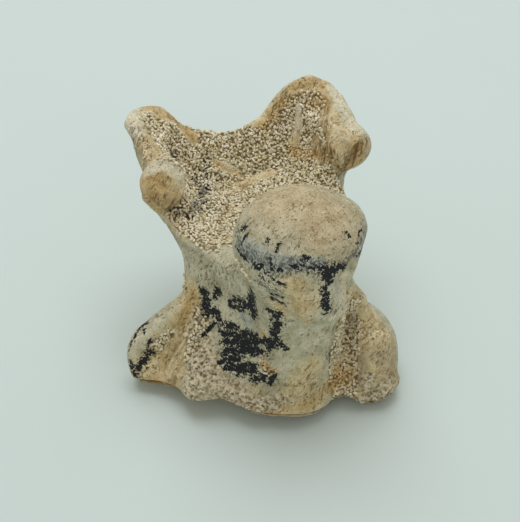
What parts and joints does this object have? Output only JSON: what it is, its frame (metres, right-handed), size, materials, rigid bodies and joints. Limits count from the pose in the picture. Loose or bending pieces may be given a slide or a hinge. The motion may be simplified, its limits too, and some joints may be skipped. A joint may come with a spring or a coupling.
{
  "type": "fossil sea snake vertebra",
  "caption": "Trunk vertebra of a fossil sea snake, standing on its hollow front end, with a ball joint end, bony wings and sandy matrix in its canal.",
  "frame": {"origin": "middle of the bounding box, at the level of the flats that the bone stands on", "axes": "+Z from the head end of the bone up to its tail end, +Y towards the snake's back, +X towards the snake's right side"},
  "size_m": [0.023, 0.0248, 0.0198],
  "materials": {
    "centrum": "smooth mineralised bone, grey cream with black stains",
    "condyle": "smooth mineralised bone, tan",
    "cotyle_rim": "worn porous bone",
    "hypapophysis": "smooth mineralised bone, cream",
    "left_synapophysis": "worn porous bone, pinkish",
    "right_synapophysis": "mineralised bone, ochre",
    "left_prezygapophysis": "mineralised bone, ochre",
    "right_prezygapophysis": "mineralised bone, ochre",
    "neural_arch": "mineralised bone with sand on it",
    "zygosphene": "mineralised bone",
    "neural_spine": "broken bone",
    "left_postzygapophysis": "smooth mineralised bone, cream",
    "right_postzygapophysis": "mineralised bone, ochre",
    "left_pterapophysis": "smooth mineralised bone, cream",
    "right_pterapophysis": "mineralised bone, ochre",
    "matrix_fill": "coarse phosphate sand, cemented"
  },
  "bodies": {
    "root": {"centrum": "centrum", "condyle": "condyle", "cotyle_rim": "cotyle_rim", "hypapophysis": "hypapophysis", "left_synapophysis": "left_synapophysis", "right_synapophysis": "right_synapophysis", "left_prezygapophysis": "left_prezygapophysis", "right_prezygapophysis": "right_prezygapophysis", "neural_arch": "neural_arch", "zygosphene": "zygosphene", "neural_spine": "neural_spine", "left_postzygapophysis": "left_postzygapophysis", "right_postzygapophysis": "right_postzygapophysis", "left_pterapophysis": "left_pterapophysis", "right_pterapophysis": "right_pterapophysis", "matrix_fill": "matrix_fill"}
  },
  "joints": []
}
